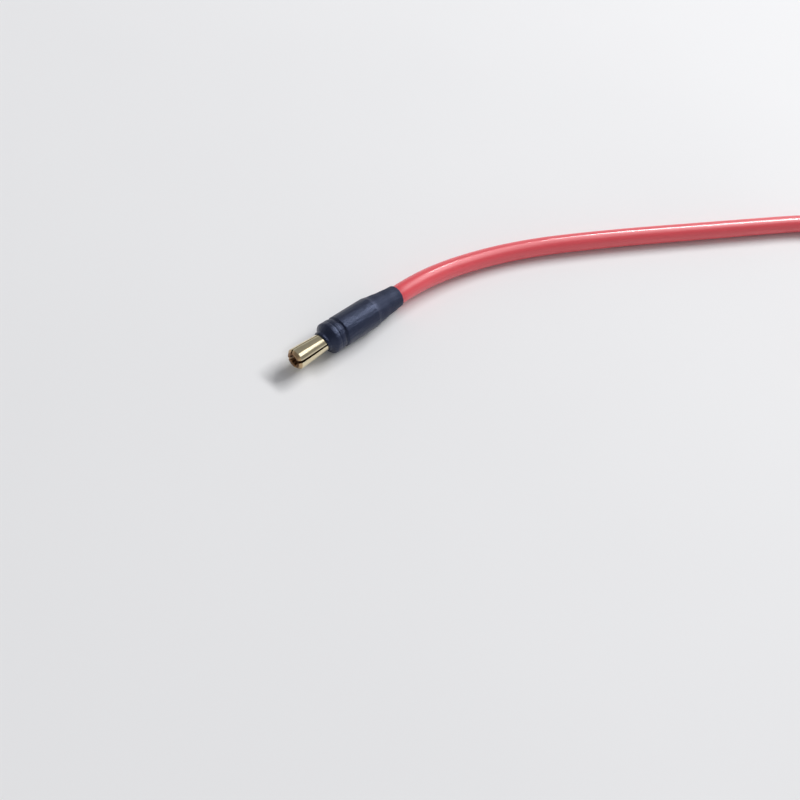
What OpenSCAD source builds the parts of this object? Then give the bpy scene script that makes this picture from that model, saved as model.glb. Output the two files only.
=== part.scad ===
// Battery lead: a gold-plated male bullet plug soldered to silicone wire under a heat-shrink
// sleeve. The lead lies on the plane z = 0 with the plug's axis along X and its nose towards -X.
// The origin is on that plane, under the middle of the plug and its sleeve.

/* [Plug pin] */
// Diameter across the spring leaves at the nose, as they stand open
nose_d = 3.16; // [2.8:0.02:3.6]
// Diameter across the leaves at their root
root_d = 2.76; // [2.4:0.02:3.1]
// Length of the pin that shows in front of the sleeve
pin_len = 5.4; // [4:0.1:8]
// Length of the straight band behind the nose
band_len = 1.2; // [0.8:0.1:2]
// Chamfer round the nose
nose_chamfer = 0.4; // [0.2:0.05:0.5]
// Bore between the leaves
bore_d = 1.5; // [1:0.05:1.8]
// Countersink at the mouth of the bore
bore_chamfer = 0.12; // [0.05:0.01:0.2]
// Number of spring leaves
leaf_count = 4; // [2:2:6]
// Width of a slit at the root of the leaves
slit_w = 0.22; // [0.1:0.02:0.4]
// Width of a slit at the nose
slit_nose_w = 0.28; // [0.2:0.02:0.6]
// Length of the rounded mouth of a slit
slit_mouth_len = 0.2; // [0.1:0.02:0.3]
// How far each side of a slit's mouth opens out
slit_mouth_flare = 0.06; // [0:0.02:0.2]
// Angle that the slits are turned by from the diagonals
slit_turn = 14; // [0:1:90]

/* [Plug flange and cup] */
// Length of bare pin root that the sleeve's lip covers
lip_cover = 1.25; // [0.6:0.05:2]
// Diameter of the two flange lands
flange_d = 4; // [3.4:0.05:5]
// Width of one flange land
land_w = 0.5; // [0.3:0.05:0.8]
// Width of the groove between the lands
land_gap = 0.35; // [0.2:0.05:0.6]
// Depth of the groove between the lands
land_gap_depth = 0.15; // [0.05:0.05:0.3]
// Length of the neck between the flange and the cup
neck_len = 0.75; // [0.4:0.05:1.5]
// Depth of the neck below the flange
neck_depth = 0.4; // [0.25:0.05:0.7]
// Outer diameter of the solder cup
cup_d = 4; // [3.4:0.05:5]
// Length of the solder cup
cup_len = 6.05; // [4:0.05:9]
// Inner diameter of the solder cup
cup_bore_d = 3; // [2.4:0.05:3.2]
// Metal in front of the solder cup's bore, to the shoulder of its drill point
cup_floor = 1.15; // [0.5:0.05:2]
// Edge break on the flange and the cup
edge_break = 0.08; // [0.02:0.01:0.12]

/* [Sleeve] */
// Length of the heat-shrink sleeve
sleeve_len = 15; // [13:0.1:20]
// Wall of the sleeve where it is stretched over the plug
sleeve_wall = 0.38; // [0.2:0.02:0.6]
// Wall of the sleeve where it has shrunk onto the wire
sleeve_neck_wall = 0.28; // [0.15:0.01:0.5]
// Wall of the sleeve at its front edge
lip_wall = 0.2; // [0.18:0.02:0.4]
// Rounding of the sleeve's front edge
lip_round = 0.12; // [0.04:0.02:0.16]
// How far the sleeve lifts off the pin before it climbs the flange
lip_rise = 0.06; // [0:0.02:0.2]
// How far the sleeve sinks into the neck of the plug
neck_sag = 0.18; // [0.05:0.01:0.2]
// How far the sleeve sinks into the groove of the flange
land_sag = 0.05; // [0.02:0.01:0.08]
// How far the sleeve drops behind the rim of the cup
rim_drop = 0.13; // [0.03:0.01:0.15]
// Clearance between the sleeve and the metal under it
shrink_fit = 0.02; // [0.01:0.01:0.05]

/* [Wire] */
// Outer diameter of the silicone wire
wire_d = 3; // [2.6:0.05:3.3]
// How far the sleeve squeezes the jacket, on the radius
jacket_squeeze = 0.08; // [0:0.01:0.15]
// Diameter of the stranded conductor
core_d = 1.5; // [1.2:0.05:1.8]
// Gap between the cup and the cut end of the jacket
strip_gap = 0.4; // [0.1:0.05:1]
// Gap between the conductor and the bottom of the cup
core_gap = 0.4; // [0.1:0.05:1]
// How far the solder's hollow face dips below the rim of the cup
solder_dip = 0.6; // [0.2:0.05:1.2]
// Length of the stripped and tinned far end
tip_len = 6; // [4:0.5:12]

/* [Hidden] */
$fn = 96;

// Colours
gold = [0.86, 0.74, 0.46];
solder_grey = [0.72, 0.73, 0.74];
tinned_copper = [0.78, 0.75, 0.70];
sleeve_black = [0.10, 0.11, 0.16];
silicone_red = [0.86, 0.20, 0.21];

// Clearances inside the plug
slit_to_flange = 0.2;
bore_into_flange = 0.1;

// Share of the lip's length that lies flat on the pin
lip_flat = 0.3;

// Radii
nose_r = nose_d / 2;
root_r = root_d / 2;
flange_r = flange_d / 2;
neck_r = flange_r - neck_depth;
cup_r = cup_d / 2;
wire_r = wire_d / 2;
core_r = core_d / 2;
jacket_r = wire_r - jacket_squeeze;

// Stations along X. The lip is the sleeve's front edge and the exit is its rear edge.
lip_x = (pin_len - sleeve_len) / 2;
exit_x = lip_x + sleeve_len;
nose_x = lip_x - pin_len;
flange_x = lip_x + lip_cover;
land_end_x = flange_x + land_w;
land_2_x = land_end_x + land_gap;
neck_x = land_2_x + land_w;
cup_x = neck_x + neck_len;
rim_x = cup_x + cup_len;
cup_floor_x = cup_x + cup_floor;
jacket_x = rim_x + strip_gap;
slit_end_x = flange_x - slit_to_flange;
bore_end_x = flange_x + bore_into_flange;

// Tips of the two drilled holes
drill_point_tan = tan(31);
bore_tip_x = bore_end_x + bore_d / 2 * drill_point_tan;
cup_tip_x = cup_floor_x - cup_bore_d / 2 * drill_point_tan;

// The plug lies on its widest sleeved part
axis_z = max(flange_r, cup_r) + shrink_fit + sleeve_wall;

// The wire's way from the sleeve to its jacket's far end: [x, y, lift]. A lift of 1 is the height
// of the plug's axis and 0 is lying on the plane. Its first point is the sleeve's exit.
WIRE_ROUTE = [
    [14, 0, 1], [18, -0.2, 0.72], [22.5, -0.8, 0.35], [28, -2.1, 0.1], [33.5, -3.9, 0],
    [39, -6.2, 0], [44.5, -8.9, 0], [50, -11.7, 0], [55.5, -14.6, 0], [61, -17.6, 0],
    [66.5, -20.6, 0], [72, -23.6, 0], [77.5, -26.6, 0], [83, -29.6, 0], [87.9, -32.7, 0],
    [91.8, -36.7, 0], [94.2, -41.6, 0], [94.8, -47, 0], [93.2, -52.2, 0], [89.5, -56.2, 0],
    [84.6, -58.7, 0], [79.2, -59.7, 0], [73.7, -59.5, 0], [68.3, -58.4, 0], [63.1, -56.7, 0],
    [59.2, -55.2, 0]
];
WIRE_SIDES = 8;
route = concat(
    [[exit_x, 0, axis_z]],
    [for (p = WIRE_ROUTE) [p.x, p.y, wire_r + p.z * (axis_z - wire_r)]]
);

// ---- Helpers ----

// Turns a profile of [x, radius] points about the plug's axis
module turned(profile) {
    translate([0, 0, axis_z])
        rotate([0, 90, 0])
            rotate_extrude()
                polygon([for (p = profile) [p.y, p.x]]);
}

// Points after p up to q, with a soft start and a soft finish
function eased(p, q, steps = 4) = [
    for (i = [1:steps])
        let (t = i / steps)
        [p.x + (q.x - p.x) * t, p.y + (q.y - p.y) * (1 - cos(180 * t)) / 2]
];

function unit(v) = v / norm(v);

// Direction of a path at point i: along its chord, or along its first or last stretch at an end
function heading(path, i) =
    unit(path[min(i + 1, len(path) - 1)] - path[max(i - 1, 0)]);

// ---- Plug ----

// Outline of the plug's outside, from the nose to the rim of the cup
function plug_outside() = [
    [nose_x, nose_r - nose_chamfer],
    [nose_x + nose_chamfer, nose_r],
    [nose_x + nose_chamfer + band_len, nose_r],
    [lip_x, root_r],
    [flange_x, root_r],
    [flange_x, flange_r - edge_break],
    [flange_x + edge_break, flange_r],
    [land_end_x, flange_r],
    [land_end_x, flange_r - land_gap_depth],
    [land_2_x, flange_r - land_gap_depth],
    [land_2_x, flange_r],
    [neck_x - edge_break, flange_r],
    [neck_x, flange_r - edge_break],
    [neck_x, neck_r],
    [cup_x, neck_r],
    [cup_x, cup_r - edge_break],
    [cup_x + edge_break, cup_r],
    [rim_x - edge_break, cup_r],
    [rim_x, cup_r - edge_break]
];

// Outline of the solder cup's inside, from its rim to the drill point
function cup_inside() = [
    [rim_x, cup_bore_d / 2],
    [cup_floor_x, cup_bore_d / 2],
    [cup_tip_x, 0]
];

module pin_bore() {
    turned([
        [nose_x - 1, 0],
        [nose_x - 1, bore_d / 2 + bore_chamfer],
        [nose_x, bore_d / 2 + bore_chamfer],
        [nose_x + bore_chamfer, bore_d / 2],
        [bore_end_x, bore_d / 2],
        [bore_tip_x, 0]
    ]);
}

// One slit: a wedge that widens towards the nose and flares at its mouth
module slit() {
    root_half = slit_w / 2;
    nose_half = slit_nose_w / 2;
    mouth_half = nose_half + slit_mouth_flare;
    mouth_x = nose_x + slit_mouth_len;
    linear_extrude(nose_d)
        polygon([
            [slit_end_x, -root_half],
            [mouth_x, -nose_half],
            [nose_x, -mouth_half],
            [nose_x - 1, -mouth_half],
            [nose_x - 1, mouth_half],
            [nose_x, mouth_half],
            [mouth_x, nose_half],
            [slit_end_x, root_half]
        ]);
}

module slits() {
    for (i = [0:leaf_count - 1])
        translate([0, 0, axis_z])
            rotate([slit_turn + (i + 0.5) * 360 / leaf_count, 0, 0])
                slit();
}

module bullet_plug() {
    color(gold)
        difference() {
            turned(concat([[nose_x, 0]], plug_outside(), cup_inside()));
            pin_bore();
            slits();
        }
}

// ---- Soldered joint ----

// Outline of the solder's hollow face, from the wall of the cup to the conductor
function solder_face(steps = 6) = [
    for (i = [0:steps])
        let (t = i / steps, wall_r = cup_bore_d / 2)
        [rim_x - edge_break - solder_dip * sin(180 * t), wall_r + (core_r - wall_r) * t]
];

module solder_fill() {
    face = solder_face();
    color(solder_grey)
        difference() {
            turned(concat(
                [[cup_tip_x, 0], [cup_floor_x, cup_bore_d / 2]],
                face,
                [[face[len(face) - 1].x, 0]]
            ));
            core_rod();
        }
}

module core_rod() {
    translate([cup_floor_x + core_gap, 0, axis_z])
        rotate([0, 90, 0])
            cylinder(r = core_r, h = exit_x - cup_floor_x - core_gap);
}

module wire_core() {
    color(tinned_copper)
        core_rod();
}

module wire_jacket() {
    color(silicone_red)
        turned([
            [jacket_x, core_r],
            [jacket_x, jacket_r],
            [exit_x, jacket_r],
            [exit_x, core_r]
        ]);
}

// ---- Sleeve ----

// Middles of the groove and the neck, where the sleeve sinks deepest
groove_mid_x = (land_end_x + land_2_x) / 2;
neck_mid_x = (neck_x + cup_x) / 2;

// Outline of the sleeve's outside: its lip climbs from the pin's root onto the flange, sinks into
// the groove and the neck, runs along the cup and closes down onto the wire
function sleeve_outside() =
    let (
        lip_r = root_r + shrink_fit + lip_wall,
        land_r = flange_r + shrink_fit + sleeve_wall,
        tube_r = cup_r + shrink_fit + sleeve_wall,
        end_r = jacket_r + sleeve_neck_wall,
        foot = [lip_x + lip_cover * lip_flat, lip_r + lip_rise],
        groove = [groove_mid_x, land_r - land_sag],
        waist = [neck_mid_x, land_r - neck_sag],
        drop = [jacket_x, tube_r - rim_drop]
    )
    concat(
        [[lip_x, lip_r - lip_round], [lip_x + lip_round * 0.3, lip_r - lip_round * 0.3]],
        [[lip_x + lip_round, lip_r]],
        eased([lip_x + lip_round, lip_r], foot, 2),
        eased(foot, [flange_x, land_r]),
        [[land_end_x, land_r]],
        eased([land_end_x, land_r], groove, 3),
        eased(groove, [land_2_x, land_r], 3),
        [[neck_x, land_r]],
        eased([neck_x, land_r], waist),
        eased(waist, [cup_x, tube_r]),
        [[rim_x, tube_r]],
        eased([rim_x, tube_r], drop, 3),
        eased(drop, [exit_x, end_r], 8)
    );

// Outline of the sleeve's inside: on the pin's root, over the flange and the cup with its own
// wall, and down onto the jacket
function sleeve_inside() =
    let (
        lip_bore = root_r + shrink_fit,
        land_bore = flange_r + shrink_fit,
        tube_bore = cup_r + shrink_fit,
        waist = [neck_mid_x, land_bore - neck_sag],
        drop = [jacket_x, tube_bore - rim_drop]
    )
    concat(
        [[lip_x, lip_bore], [lip_x + lip_cover * lip_flat, lip_bore]],
        [[flange_x - shrink_fit, land_bore], [neck_x, land_bore]],
        eased([neck_x, land_bore], waist),
        eased(waist, [cup_x, tube_bore]),
        [[rim_x, tube_bore], drop],
        eased(drop, [exit_x, jacket_r], 8)
    );

module heat_shrink_sleeve() {
    inside = sleeve_inside();
    last = len(inside) - 1;
    color(sleeve_black)
        turned(concat(sleeve_outside(), [for (i = [0:last]) inside[last - i]]));
}

// ---- Free wire ----

// A round bar along a path: one ring of points at each point of the path
module swept(path, r, sides) {
    rings = [
        for (i = [0:len(path) - 1])
            let (
                along = heading(path, i),
                side = unit(cross([0, 0, 1], along)),
                up = cross(along, side)
            )
            [for (k = [0:sides - 1])
                let (a = 360 * k / sides)
                path[i] + r * (side * sin(a) - up * cos(a))]
    ];
    points = [for (ring = rings) each ring];
    last = (len(path) - 1) * sides;
    walls = [
        for (i = [0:len(path) - 2], k = [0:sides - 1])
            let (a = i * sides + k, b = i * sides + (k + 1) % sides)
            [a, b, b + sides, a + sides]
    ];
    caps = [
        [for (k = [sides - 1:-1:0]) k],
        [for (k = [0:sides - 1]) last + k]
    ];
    polyhedron(points, concat(walls, caps), convexity = 4);
}

module wire_run() {
    color(silicone_red)
        swept(route, wire_r, WIRE_SIDES);
}

module wire_tip() {
    end = route[len(route) - 1];
    along = heading(route, len(route) - 1);
    color(tinned_copper)
        translate(end)
            rotate([0, 90, atan2(along.y, along.x)])
                cylinder(r = core_r, h = tip_len);
}

bullet_plug();
solder_fill();
wire_core();
wire_jacket();
heat_shrink_sleeve();
wire_run();
wire_tip();
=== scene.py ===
"""A gold-plated bullet plug on a red silicone battery wire, under a black heat-shrink sleeve."""

import math

import bpy
import numpy as np
from mathutils import Euler, Matrix, Vector


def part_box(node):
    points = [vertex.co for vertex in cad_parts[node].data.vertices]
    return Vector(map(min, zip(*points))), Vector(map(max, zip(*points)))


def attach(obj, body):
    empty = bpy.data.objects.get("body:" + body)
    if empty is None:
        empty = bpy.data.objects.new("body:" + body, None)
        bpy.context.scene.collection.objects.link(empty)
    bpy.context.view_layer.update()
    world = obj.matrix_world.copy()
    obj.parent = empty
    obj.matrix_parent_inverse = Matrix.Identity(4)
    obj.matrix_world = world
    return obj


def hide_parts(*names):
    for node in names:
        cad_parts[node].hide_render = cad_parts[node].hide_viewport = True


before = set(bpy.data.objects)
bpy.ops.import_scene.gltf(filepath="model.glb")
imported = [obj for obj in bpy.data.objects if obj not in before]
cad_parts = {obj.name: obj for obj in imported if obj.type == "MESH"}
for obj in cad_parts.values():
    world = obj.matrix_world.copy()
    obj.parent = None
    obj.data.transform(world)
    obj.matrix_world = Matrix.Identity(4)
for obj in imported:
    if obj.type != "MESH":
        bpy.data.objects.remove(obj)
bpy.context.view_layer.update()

MM = 0.001

# ---- Places and sizes, in millimetres ----

plug_low, plug_high = (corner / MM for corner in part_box("bullet_plug"))
sleeve_low, sleeve_high = (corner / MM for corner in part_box("heat_shrink_sleeve"))

NOSE_X = plug_low.x
RIM_X = plug_high.x
LIP_X = sleeve_low.x
EXIT_X = sleeve_high.x
AXIS_Z = (sleeve_low.z + sleeve_high.z) / 2

# The plug's turned body
NOSE_R = 1.58
NOSE_LEN = 0.42
BAND_LEN = 1.2
ROOT_R = 1.38
BORE_R = 0.75
FLANGE_X = LIP_X + 1.25
FLANGE_R = 2.0
FLANGE_LEN = 1.35
LAND_LEN = 0.5
GROOVE_LEN = 0.35
GROOVE_DEPTH = 0.15
NECK_R = 1.6
CUP_X = LIP_X + 3.35
CUP_BORE_R = 1.5
PLUG_EDGE = 0.08
# Where the pin's bore and the cup's bore end, at their wall and at the drill's point. The first
# two are distances behind the flange's front, the other two behind the cup's front.
BORE_END = (0.1, 0.55)
CUP_END = (1.15, 0.25)
# The nose's chamfer with its soft edges: distance behind the tip, depth below the band
NOSE_FORM = (
    (0.0, 0.43), (0.01, 0.40), (0.03, 0.37), (0.06, 0.34), (0.12, 0.28), (0.20, 0.20),
    (0.28, 0.12), (0.34, 0.06), (0.37, 0.03), (0.40, 0.01), (0.42, 0.0),
)

# The spring leaves between the slits
LEAVES = 4
SLIT_TURN = 14
SLIT_HALF_ROOT = 0.11
SLIT_HALF_NOSE = 0.14
SLIT_END_X = FLANGE_X - 0.2
# How much wider the half slits and the bore are at the nose's tip, and over what length
MOUTH_WIDER, MOUTH_LEN = 0.06, 0.2
BORE_WIDER, BORE_LEAD = 0.12, 0.12
LEAF_EDGE = 0.05
# How far each leaf's nose stands out from the drawn size: no two are sprung alike
LEAF_SPREAD = (0.0, 0.07, 0.03, -0.03)

# The heat-shrink sleeve: its wall over the plug and where it has closed onto the wire, how far
# behind its lip it starts to close, and its tightest bore
SLEEVE_WALL = 0.38
CLOSED_WALL = 0.76 * SLEEVE_WALL
CLOSING_START = 9.36
TIGHTEST_R = 1.40
# The sleeve's outside: distance behind the lip, radius
SLEEVE_FORM = (
    (0.0, 1.52), (0.04, 1.57), (0.10, 1.61), (0.45, 1.64), (1.16, 2.39),
    (1.40, 2.41), (1.75, 2.40), (1.93, 2.35), (2.10, 2.39), (2.50, 2.40), (2.68, 2.33),
    (3.02, 2.17), (3.13, 2.20), (3.28, 2.40), (CLOSING_START, 2.40), (10.35, 2.18),
    (11.25, 2.10), (12.15, 1.94), (13.2, 1.87), (14.0, 1.77), (14.5, 1.73), (15.0, 1.71),
)

# The wire
WIRE_R = 1.5
CORE_R = 0.75
JACKET_GRIP = 0.08
JACKET_EDGE = 0.06
CORE_GAP = 0.02
TIP_LEN = 6.0
# From the sleeve's exit to the jacket's cut end: x, y, and the lift from the ground (0) to the
# height of the plug's axis (1)
WIRE_ROUTE = (
    (10.2, 0, 1), (14, 0, 1), (18, -0.2, 0.72), (22.5, -0.8, 0.35), (28, -2.1, 0.1),
    (33.5, -3.9, 0), (39, -6.2, 0), (44.5, -8.9, 0), (50, -11.7, 0), (55.5, -14.6, 0),
    (61, -17.6, 0), (66.5, -20.6, 0), (72, -23.6, 0), (77.5, -26.6, 0), (83, -29.6, 0),
    (87.9, -32.7, 0), (91.8, -36.7, 0), (94.2, -41.6, 0), (94.8, -47, 0), (93.2, -52.2, 0),
    (89.5, -56.2, 0), (84.6, -58.7, 0), (79.2, -59.7, 0), (73.7, -59.5, 0), (68.3, -58.4, 0),
    (63.1, -56.7, 0), (59.2, -55.2, 0),
)

# The camera: its place, its lens on a film 36 mm wide, how far it looks down, which way it
# faces and how far it leans
CAMERA_PLACE = (-74.2, -57.0, 114.7)
CAMERA_LENS = 45
CAMERA_DOWN = 53.4
CAMERA_FACING = -59.05
CAMERA_LEAN = 18.1

# ---- Tones ----

GOLD_LIGHT = (0.84, 0.75, 0.53, 1)
GOLD_DEEP = (0.74, 0.64, 0.43, 1)
# A painted reflection: the brown of dark surroundings mirrored in the nose's chamfer
NOSE_REFLECTION_BROWN = (0.50, 0.35, 0.20, 1)
# Painted shade: brown put on the walls of the slits and the bore, where shade falls
SLIT_SHADE_BROWN = (0.26, 0.15, 0.08, 1)
SLEEVE_DARK = (0.003, 0.004, 0.014, 1)
SLEEVE_LIGHT = (0.006, 0.009, 0.025, 1)
SLEEVE_SHINE = (0.52, 0.63, 1.0, 1)
SILICONE_LIGHT = (0.78, 0.090, 0.110, 1)
SILICONE_DEEP = (0.72, 0.075, 0.094, 1)
SILICONE_SHINE = (1.0, 0.86, 0.9, 1)
TIN = (0.80, 0.78, 0.74, 1)
COPPER = (0.82, 0.52, 0.36, 1)
SOLDER_DARK = (0.62, 0.63, 0.65, 1)
SOLDER_LIGHT = (0.74, 0.74, 0.74, 1)
PAPER_LIGHT = (0.86, 0.86, 0.87, 1)
PAPER_DARK = (0.83, 0.83, 0.84, 1)
# The room overhead and near its horizon
ROOM = (0.28, 0.283, 0.29, 1)
HORIZON = (0.76, 0.77, 0.79, 1)


# ---- Building meshes ----

def piece(name, points, faces, finish, crease=35):
    """A mesh object from points in millimetres. Edges sharper than the crease angle stay sharp."""
    mesh = bpy.data.meshes.new(name)
    mesh.from_pydata([tuple(p) for p in np.asarray(points, float) * MM], [], faces)
    mesh.validate()
    mesh.update()
    mesh.shade_smooth()
    mesh.set_sharp_from_angle(angle=math.radians(crease))
    mesh.materials.append(finish)
    made = bpy.data.objects.new(name, mesh)
    bpy.context.scene.collection.objects.link(made)
    return made


def loft(rings, looped=False):
    """Points and faces of a skin over rings of equally many points, capped unless it is looped."""
    count = len(rings[0])
    points = [p for ring in rings for p in ring]
    faces = []
    spans = len(rings) if looped else len(rings) - 1
    for i in range(spans):
        a, b = i * count, (i + 1) % len(rings) * count
        for k in range(count):
            n = (k + 1) % count
            faces.append((a + k, a + n, b + n, b + k))
    if not looped:
        faces.append(tuple(reversed(range(count))))
        faces.append(tuple(range(len(points) - count, len(points))))
    return points, faces


def merged(*skins):
    """Several skins as one."""
    points, faces = [], []
    for some_points, some_faces in skins:
        start = len(points)
        points.extend(some_points)
        faces.extend(tuple(start + i for i in face) for face in some_faces)
    return points, faces


def across(angle, radius, x):
    """The point at that angle and radius round the plug's axis. Angle 0 is up, 90 is towards -Y."""
    turn = math.radians(angle)
    return x, -radius * math.sin(turn), AXIS_Z + radius * math.cos(turn)


def turned(outline, sides=128):
    """A turned skin from (x, radius) points. Where the outline ends on the axis it is closed."""
    rings = [
        [across(360 * k / sides, max(radius, 1e-4), x) for k in range(sides)]
        for x, radius in outline
    ]
    return loft(rings)


def eased(t):
    """A soft start and a soft finish, from 0 to 1."""
    t = min(max(t, 0.0), 1.0)
    return t * t * (3 - 2 * t)


# ---- Mixing finishes ----

class Value:
    """One output of a finish's nodes. Arithmetic on values adds Math nodes."""

    def __init__(self, finish, socket):
        self.finish = finish
        self.socket = socket

    def _math(self, operation, *operands):
        return self.finish.node("ShaderNodeMath", {"operation": operation}, dict(enumerate(operands)))

    def __add__(self, other):
        return self._math("ADD", self, other)

    def __mul__(self, other):
        return self._math("MULTIPLY", self, other)

    __radd__ = __add__
    __rmul__ = __mul__


class Finish:
    """The nodes of one finish, or of the room round the object."""

    def __init__(self, owner):
        self.owner = owner
        owner.use_nodes = True
        self.nodes = owner.node_tree.nodes
        self.links = owner.node_tree.links
        self.nodes.clear()

    @classmethod
    def named(cls, name):
        """The finish of a new material."""
        return cls(bpy.data.materials.new(name))

    def node(self, kind, settings=None, sockets=None, output=0):
        """Adds a node: its settings first, then the values or links of its sockets."""
        made = self.nodes.new(kind)
        for name, value in (settings or {}).items():
            if name == "stops":
                self._set_stops(made.color_ramp, value)
            else:
                setattr(made, name, value)
        for name, value in (sockets or {}).items():
            if isinstance(value, Value):
                self.links.new(value.socket, made.inputs[name])
            else:
                made.inputs[name].default_value = value
        return Value(self, made.outputs[output]) if made.outputs else None

    @staticmethod
    def _set_stops(ramp, stops):
        while len(ramp.elements) < len(stops):
            ramp.elements.new(1.0)
        for element, (place, tone) in zip(ramp.elements, stops):
            element.position = place
            element.color = (tone, tone, tone, 1)

    def place(self):
        """Where on the object, in millimetres."""
        here = self.node("ShaderNodeTexCoord", output="Object")
        return self.stretched(here, (1 / MM, 1 / MM, 1 / MM))

    def stretched(self, vector, factors):
        return self.node("ShaderNodeVectorMath", {"operation": "MULTIPLY"}, {0: vector, 1: factors})

    def moved(self, vector, by):
        return self.node("ShaderNodeVectorMath", {"operation": "ADD"}, {0: vector, 1: by})

    def length(self, vector):
        return self.node("ShaderNodeVectorMath", {"operation": "LENGTH"}, {0: vector}, output=1)

    def x(self, vector):
        return self.node("ShaderNodeSeparateXYZ", None, {0: vector})

    def smooth(self, value, start, end):
        """0 before the start and 1 beyond the end, whichever of the two is the larger."""
        return self.node(
            "ShaderNodeMapRange", {"interpolation_type": "SMOOTHSTEP"},
            {"Value": value, "From Min": start, "From Max": end},
        )

    def noise(self, vector, scale, detail=3.0, roughness=0.5):
        return self.node(
            "ShaderNodeTexNoise", None,
            {"Vector": vector, "Scale": scale, "Detail": detail, "Roughness": roughness},
        )

    def ramp(self, value, *stops):
        return self.node("ShaderNodeValToRGB", {"stops": stops}, {"Fac": value})

    def blend(self, share, first, second):
        return self.node(
            "ShaderNodeMix", {"data_type": "RGBA"}, {"Factor": share, 6: first, 7: second}, output=2
        )

    def bump(self, height, distance):
        """A relief: its height in shares of the distance, which is in millimetres."""
        return self.node(
            "ShaderNodeBump", None, {"Height": height, "Distance": distance * MM, "Strength": 1.0}
        )

    def surface(self, **sockets):
        """Closes the finish with one principled shader and gives its material."""
        named = {name.replace("_", " "): value for name, value in sockets.items()}
        shader = self.node("ShaderNodeBsdfPrincipled", None, named)
        self.node("ShaderNodeOutputMaterial", None, {"Surface": shader})
        return self.owner


def gold_plating():
    """Bright plating with fine lines along the pin; painted brown shade in the slits, painted brown
    reflection at the nose.
    """
    mix = Finish.named("gold_plating")
    place = mix.place()
    drawn = mix.noise(mix.stretched(place, (0.3, 15, 15)), 1.0, 3)
    cloud = mix.noise(place, 0.9, 2)
    bright = mix.blend(cloud, GOLD_LIGHT, GOLD_DEEP)
    radius = mix.length(mix.stretched(mix.moved(place, (0, 0, -AXIS_Z)), (0, 1, 1)))
    along = mix.x(place)
    # The nose's chamfer takes a brown painted reflection in its tone
    nose = mix.smooth(along, NOSE_X + NOSE_LEN, NOSE_X + NOSE_LEN - 0.14)
    tone_with_nose_reflection = mix.blend(nose, bright, NOSE_REFLECTION_BROWN)
    inside = mix.smooth(radius, ROOT_R - 0.08, ROOT_R - 0.26)
    pin = mix.smooth(along, FLANGE_X, LIP_X)
    # Inside the pin's slits and bore the plating is rougher, and its tone takes a brown painted shade
    dull = inside * pin
    tone = mix.blend(dull, tone_with_nose_reflection, SLIT_SHADE_BROWN)
    return mix.surface(
        Base_Color=tone,
        Metallic=1.0,
        Roughness=0.06 + 0.04 * drawn + 0.25 * dull,
        Normal=mix.bump(drawn, 0.005),
    )


def shrunk_sleeve():
    """Matt blue-black polyolefin with a fine grain, drawn along by the heat, duller behind."""
    mix = Finish.named("black_heat_shrink")
    place = mix.place()
    grain = mix.noise(place, 3, 5, 0.7)
    drawn = mix.noise(mix.stretched(place, (0.5, 2.4, 2.4)), 1.0, 5, 0.6)
    cloud = mix.noise(place, 0.6, 2)
    closing_x = LIP_X + CLOSING_START
    closed = mix.smooth(mix.x(place), closing_x, closing_x + 0.8)
    tone = mix.blend(cloud, SLEEVE_DARK, SLEEVE_LIGHT)
    return mix.surface(
        Base_Color=tone,
        Roughness=0.22 + 0.2 * drawn + 0.1 * grain + 0.26 * closed,
        Specular_IOR_Level=0.68,
        Specular_Tint=SLEEVE_SHINE,
        Normal=mix.bump(0.5 * grain + 2 * drawn, 0.055),
    )


def red_silicone():
    """Soft glossy silicone, a little uneven from the extruder."""
    mix = Finish.named("red_silicone")
    place = mix.place()
    waves = mix.noise(place, 0.35, 2)
    grain = mix.noise(place, 6, 3)
    tone = mix.blend(waves, SILICONE_LIGHT, SILICONE_DEEP)
    return mix.surface(
        Base_Color=tone,
        Roughness=0.32 + 0.1 * grain,
        Coat_Weight=0.45,
        Coat_Roughness=0.06,
        Coat_Tint=SILICONE_SHINE,
        Normal=mix.bump(waves, 0.02),
    )


def tinned_strands():
    """Fine copper strands under a thin coat of tin."""
    mix = Finish.named("tinned_copper")
    place = mix.place()
    patches = mix.noise(place, 1.6, 4)
    copper = mix.ramp(patches, (0.52, 0), (0.68, 1))
    tone = mix.blend(copper, TIN, COPPER)
    return mix.surface(
        Base_Color=tone,
        Metallic=1.0,
        Roughness=0.22 + 0.2 * patches,
        Normal=mix.bump(patches, 0.02),
    )


def solder_metal():
    """Solder that has frozen with a slightly dull skin."""
    mix = Finish.named("solder")
    skin = mix.noise(mix.place(), 2.2, 4)
    tone = mix.blend(skin, SOLDER_DARK, SOLDER_LIGHT)
    return mix.surface(
        Base_Color=tone, Metallic=1.0, Roughness=0.24 + 0.2 * skin, Normal=mix.bump(skin, 0.03)
    )


def pale_floor():
    """Pale paper. Far off it fades into the tone of the room's horizon, as on a studio sweep."""
    mix = Finish.named("pale_floor")
    place = mix.place()
    cloud = mix.noise(place, 0.02, 2)
    tone = mix.blend(cloud, PAPER_LIGHT, PAPER_DARK)
    matt = {"Base Color": tone, "Roughness": 0.65, "Specular IOR Level": 0.1}
    paper = mix.node("ShaderNodeBsdfPrincipled", None, matt)
    horizon = mix.node("ShaderNodeEmission", None, {"Color": HORIZON, "Strength": 1.0})
    fade_start, fade_end = 100, 420
    far = mix.smooth(mix.length(place), fade_start, fade_end)
    rays = [
        mix.node("ShaderNodeLightPath", output=f"Is {kind} Ray")
        for kind in ("Camera", "Glossy", "Transmission")
    ]
    shader = mix.node("ShaderNodeMixShader", None, {0: far * sum(rays), 1: paper, 2: horizon})
    mix.node("ShaderNodeOutputMaterial", None, {"Surface": shader})
    return mix.owner


# ---- Camera ----

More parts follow.
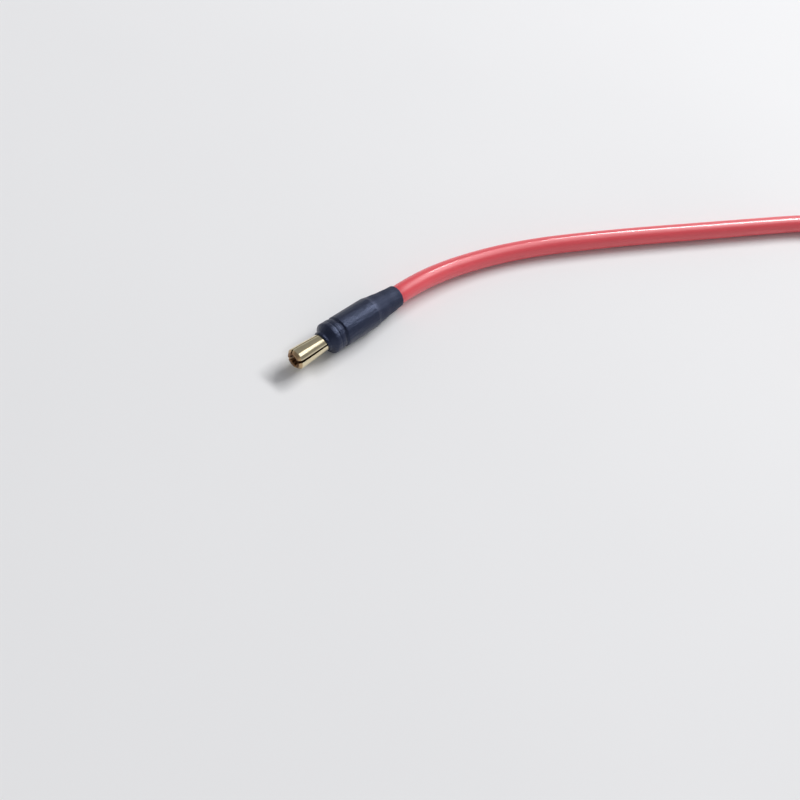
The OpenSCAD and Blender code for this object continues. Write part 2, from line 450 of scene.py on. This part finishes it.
def look():
    """The camera above the plug's nose, leaning so that the lead runs up to the right."""
    lens = bpy.data.cameras.new("camera")
    lens.sensor_width = 36
    lens.lens = CAMERA_LENS
    lens.clip_start = 0.01
    camera = bpy.data.objects.new("camera", lens)
    camera.location = Vector(CAMERA_PLACE) * MM
    facing = Euler((math.radians(90 - CAMERA_DOWN), 0, math.radians(CAMERA_FACING))).to_matrix()
    lean = Euler((0, 0, math.radians(CAMERA_LEAN))).to_matrix()
    camera.rotation_euler = (facing @ lean).to_euler()
    bpy.context.scene.collection.objects.link(camera)
    bpy.context.scene.camera = camera


# ---- Wire ----

def wire_line(steps=6):
    """The wire's centreline, from the sleeve's exit to the jacket's cut end: a cubic spline."""
    drawn = [np.array((x, y, WIRE_R + lift * (AXIS_Z - WIRE_R))) for x, y, lift in WIRE_ROUTE]
    posts = [2 * drawn[0] - drawn[1], *drawn, 2 * drawn[-1] - drawn[-2]]
    line = []
    for i in range(len(drawn) - 1):
        a, b, c, d = posts[i:i + 4]
        for step in range(steps):
            t = step / steps
            line.append((
                a * (1 - t) ** 3 + b * (3 * t ** 3 - 6 * t ** 2 + 4)
                + c * (-3 * t ** 3 + 3 * t ** 2 + 3 * t + 1) + d * t ** 3
            ) / 6)
    return line + [drawn[-1]]


def ring_about(centre, along, radii):
    """A ring of points square to the line, with a radius for each point."""
    side = np.cross((0, 0, 1), along)
    side = side / np.linalg.norm(side)
    up = np.cross(along, side)
    turns = [2 * math.pi * k / len(radii) for k in range(len(radii))]
    return [centre + r * (side * math.sin(a) - up * math.cos(a)) for a, r in zip(turns, radii)]


def headings(line):
    """The line's direction at each of its points."""
    ahead = [*line[1:], line[-1]]
    behind = [line[0], *line[:-1]]
    return [(b - a) / np.linalg.norm(b - a) for a, b in zip(behind, ahead)]


def silicone_wire(line, sides=64):
    """The jacket, gripped a little thinner where it leaves the sleeve, with a cut far end."""
    rings = []
    run = 0.0
    grip_end = 0.8
    for i, (centre, along) in enumerate(zip(line, headings(line))):
        run += np.linalg.norm(centre - line[i - 1]) if i else 0
        radius = WIRE_R - JACKET_GRIP * (1 - eased(run / grip_end))
        rings.append(ring_about(centre, along, [radius] * sides))
    end, along = line[-1], headings(line)[-1]
    rings[-1] = ring_about(end - along * JACKET_EDGE, along, [WIRE_R] * sides)
    rings.append(ring_about(end, along, [WIRE_R - JACKET_EDGE] * sides))
    for depth in (0.02, 0.3):
        rings.append(ring_about(end - along * depth, along, [CORE_R + CORE_GAP] * sides))
    return piece("silicone_wire", *loft(rings), red_silicone())


def tinned_tip(line, strands=20, per_strand=6, turns=0.9):
    """The stripped end: a twist of fine strands, tinned together and nipped off square."""
    end, along = line[-1], headings(line)[-1]
    count = strands * per_strand
    rings = []
    places = [*np.linspace(-0.2, TIP_LEN - 0.1, 61), TIP_LEN - 0.05, TIP_LEN - 0.015, TIP_LEN]
    for place in places:
        t = max(place, 0.0) / TIP_LEN
        bundle_r = CORE_R * (0.94 - 0.05 * t)
        nipped = 1 - 0.16 * max(0.0, 1 - (TIP_LEN - place) / 0.1) ** 2
        radii = []
        for k in range(count):
            lobe = abs(math.sin(math.pi * (k / per_strand - strands * turns * t)))
            radii.append(bundle_r * nipped * (0.9 + 0.1 * math.sqrt(lobe)))
        rings.append(ring_about(end + along * place, along, radii))
    return piece("tinned_tip", *loft(rings), tinned_strands(), crease=60)


# ---- Plug ----

def leaf_outline(outer, inner, half_slit, edge):
    """A leaf's cross-section as (angle, radius): a piece of a ring with rounded corners."""
    def half_width(radius):
        return 180 / LEAVES - math.degrees(math.asin(min(half_slit / radius, 0.9)))

    wall = outer - inner
    edge_v = edge / wall
    edge_u = math.degrees(edge / outer) / half_width(outer)

    def corner(u, v, start):
        """A quarter turn about the corner's centre, from the start angle on."""
        return [
            (u + edge_u * math.cos(math.radians(start + a)),
             v + edge_v * math.sin(math.radians(start + a)))
            for a in (0, 22.5, 45, 67.5, 90)
        ]

    left, right = -1 + edge_u, 1 - edge_u
    top = [(left + (right - left) * k / 24, 1.0) for k in range(23, 0, -1)]
    bottom = [(left + (right - left) * k / 14, 0.0) for k in range(1, 14)]
    ups = [edge_v + (1 - 2 * edge_v) * k / 8 for k in range(1, 8)]
    square = [
        *corner(right, 1 - edge_v, 0), *top, *corner(left, 1 - edge_v, 90),
        *[(-1.0, v) for v in reversed(ups)],
        *corner(left, edge_v, 180), *bottom, *corner(right, edge_v, 270),
        *[(1.0, v) for v in ups],
    ]
    outline = []
    for u, v in square:
        radius = inner + v * wall
        outline.append((u * half_width(radius), radius))
    return outline


def leaf_stations():
    """Stations along a leaf: x, outer radius, inner radius, half slit."""
    stations = []
    for along, inset in NOSE_FORM:
        bore = BORE_R + BORE_WIDER * (1 - eased(along / BORE_LEAD))
        slit = SLIT_HALF_NOSE + MOUTH_WIDER * (1 - eased(along / MOUTH_LEN))
        stations.append((NOSE_X + along, NOSE_R - inset, bore, slit))
    stations.append((NOSE_X + NOSE_LEN + 0.02, NOSE_R, BORE_R, SLIT_HALF_NOSE))
    band_end = NOSE_X + NOSE_LEN + BAND_LEN
    steps = 24
    for k in range(1, steps + 1):
        x = NOSE_X + NOSE_LEN + (SLIT_END_X - NOSE_X - NOSE_LEN + 0.1) * k / steps
        taper = min(max((x - band_end) / (LIP_X - band_end), 0.0), 1.0)
        outer = NOSE_R + (ROOT_R - NOSE_R) * taper
        along = (x - NOSE_X) / (SLIT_END_X - NOSE_X)
        slit = SLIT_HALF_NOSE + (SLIT_HALF_ROOT - SLIT_HALF_NOSE) * along
        stations.append((x, outer, BORE_R, slit))
    return stations


def spring_leaf(number):
    """One spring leaf, from its rounded nose to its root in the plug's body."""
    middle = SLIT_TURN + 360 * number / LEAVES
    rings = []
    for x, outer, inner, half_slit in leaf_stations():
        sprung = LEAF_SPREAD[number] * (1 - eased((x - NOSE_X) / (SLIT_END_X - NOSE_X)))
        outline = leaf_outline(outer, inner, half_slit, LEAF_EDGE)
        centre = np.array(across(middle, sprung, 0)) - np.array((0, 0, AXIS_Z))
        rings.append([np.array(across(middle + a, r, x)) + centre for a, r in outline])
    return loft(rings)


def plug_body():
    """The turned part behind the leaves: the root, the flange with its groove, and the cup."""
    land_end = FLANGE_X + LAND_LEN
    groove_end = land_end + GROOVE_LEN
    flange_end = FLANGE_X + FLANGE_LEN
    bore_wall, bore_point = BORE_END
    cup_wall, cup_point = CUP_END
    outline = [
        (FLANGE_X + bore_point, 0), (FLANGE_X + bore_wall, BORE_R), (SLIT_END_X, BORE_R),
        (SLIT_END_X, ROOT_R), (FLANGE_X, ROOT_R),
        (FLANGE_X, FLANGE_R - PLUG_EDGE), (FLANGE_X + PLUG_EDGE, FLANGE_R),
        (land_end, FLANGE_R), (land_end, FLANGE_R - GROOVE_DEPTH),
        (groove_end, FLANGE_R - GROOVE_DEPTH), (groove_end, FLANGE_R),
        (flange_end - PLUG_EDGE, FLANGE_R), (flange_end, FLANGE_R - PLUG_EDGE),
        (flange_end, NECK_R), (CUP_X, NECK_R),
        (CUP_X, FLANGE_R - PLUG_EDGE), (CUP_X + PLUG_EDGE, FLANGE_R),
        (RIM_X - PLUG_EDGE, FLANGE_R), (RIM_X, FLANGE_R - PLUG_EDGE),
        (RIM_X, CUP_BORE_R), (CUP_X + cup_wall, CUP_BORE_R), (CUP_X + cup_point, 0),
    ]
    return turned(outline)


def bullet_plug():
    """The body and its leaves as one piece."""
    leaves = [spring_leaf(number) for number in range(LEAVES)]
    return piece("slit_bullet_plug", *merged(plug_body(), *leaves), gold_plating())


# ---- Sleeve ----

def sleeve_radius(stations):
    """The form's radius at each station. Its corners are crisp over the metal and soft behind."""
    near = np.linspace(-2, 2, 17)
    weights = np.exp(-near ** 2)
    places, radii = zip(*SLEEVE_FORM)
    soften = np.where(stations < CLOSING_START + 0.3, 0.04, 0.22)
    reach = stations[:, None] + near * soften[:, None]
    return (np.interp(reach, places, radii) * weights).sum(1) / weights.sum()


def unevenness(angle, s):
    """How far the film stands off its round form: soft creases where it closes onto the wire."""
    crease_height, cup_height = 0.015, 0.004
    turn = math.radians(angle)
    closing = eased((s - CLOSING_START - 0.3) / 1.5) * (1 - eased((s - 13.6) / 1.4))
    creases = math.sin(3 * turn + 1.1 * s) + 0.7 * math.sin(5 * turn - 1.7 * s + 2.0)
    along_cup = math.sin(2 * turn + 0.5 * s) * eased((s - 3.4) / 1.0) * (1 - closing)
    return crease_height * closing * creases + cup_height * along_cup


def lip_slant(angle, s):
    """How far back the lip lies at that angle: the sleeve wasn't cut quite square."""
    mean, swing = 0.07, 0.35
    furthest_back_at = 167
    fade_length = 1.1
    slant = mean + swing * math.cos(math.radians(angle - furthest_back_at))
    return slant * (1 - eased(s / fade_length))


def heat_shrink_sleeve(sides=160):
    """The sleeve's outside from its lip to its exit, and its bore back to the lip."""
    length = EXIT_X - LIP_X
    exit_edge, exit_round = 0.06, 0.1
    turns = np.linspace(0, 360, sides, endpoint=False)
    stations = np.linspace(0, length, 301)
    outside = sleeve_radius(stations)
    rings = []
    for s, r in zip(stations, outside):
        inset = exit_edge * max(0.0, 1 - (length - s) / exit_round) ** 2
        rings.append([
            across(angle, r - inset + unevenness(angle, s), LIP_X + s + lip_slant(angle, s))
            for angle in turns
        ])
    for s in np.linspace(length, 0, 61):
        wall = SLEEVE_WALL if s < CLOSING_START else CLOSED_WALL
        bore = max(np.interp(s, stations, outside) - wall, TIGHTEST_R)
        rings.append([across(angle, bore, LIP_X + s + lip_slant(angle, s)) for angle in turns])
    return piece("shrunk_sleeve", *loft(rings, looped=True), shrunk_sleeve())


# ---- Light and floor ----

def softbox(name, place, aim, along, width, length, power):
    """A rectangular lamp that looks at the aim, with its long side along the given direction."""
    lamp = bpy.data.lights.new(name, "AREA")
    lamp.shape = "RECTANGLE"
    lamp.size = width
    lamp.size_y = length
    lamp.energy = power
    made = bpy.data.objects.new(name, lamp)
    back = (Vector(place) - Vector(aim)).normalized()
    short_side = Vector(along).cross(back).normalized()
    turn = Matrix((short_side, back.cross(short_side), back)).transposed()
    made.matrix_world = Matrix.Translation(place) @ turn.to_4x4()
    bpy.context.scene.collection.objects.link(made)


def light_up():
    """A strip lamp behind the lead, a weak panel higher up, and a room paler near its horizon."""
    softbox(
        "strip", place=(1.03, -0.03, 0.90), aim=(0.02, -0.01, 0), along=(-0.1, 1, 0),
        width=0.16, length=0.90, power=17.0,
    )
    softbox(
        "panel", place=(0.69, -0.36, 1.145), aim=(0, -0.01, 0), along=(0, 1, 0),
        width=0.30, length=0.78, power=1.15,
    )

    world = bpy.data.worlds.new("studio")
    mix = Finish(world)
    towards = mix.node("ShaderNodeTexCoord")
    height = mix.node("ShaderNodeSeparateXYZ", None, {0: towards}, output=2)
    low = mix.smooth(height, 0.45, 0.10)
    tone = mix.blend(low, ROOM, HORIZON)
    sky = mix.node("ShaderNodeBackground", None, {"Color": tone})
    mix.node("ShaderNodeOutputWorld", None, {"Surface": sky})
    bpy.context.scene.world = world


def lay_floor():
    """A square of floor whose edges are too far away to show."""
    reach = 4.0
    corners = [(-reach, -reach, 0), (reach, -reach, 0), (reach, reach, 0), (-reach, reach, 0)]
    floor = piece("floor", np.array(corners) / MM, [(0, 1, 2, 3)], pale_floor())


# ---- The lead ----

bpy.context.scene.view_settings.view_transform = "Standard"
look()

line = wire_line()
wire = silicone_wire(line)
tip = tinned_tip(line)
for made, node in ((wire, "wire_run"), (tip, "wire_tip")):
    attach(made, "root")
    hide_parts(node)
[p * MM for p in line]

plug = bullet_plug()
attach(plug, "root")
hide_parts("bullet_plug")

sleeve = heat_shrink_sleeve()
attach(sleeve, "root")
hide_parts("heat_shrink_sleeve")

for node, finish in (
    ("solder_fill", solder_metal()), ("wire_core", tinned_strands()), ("wire_jacket", red_silicone())
):
    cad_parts[node].data.materials.clear()
    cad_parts[node].data.materials.append(finish)

light_up()
lay_floor()
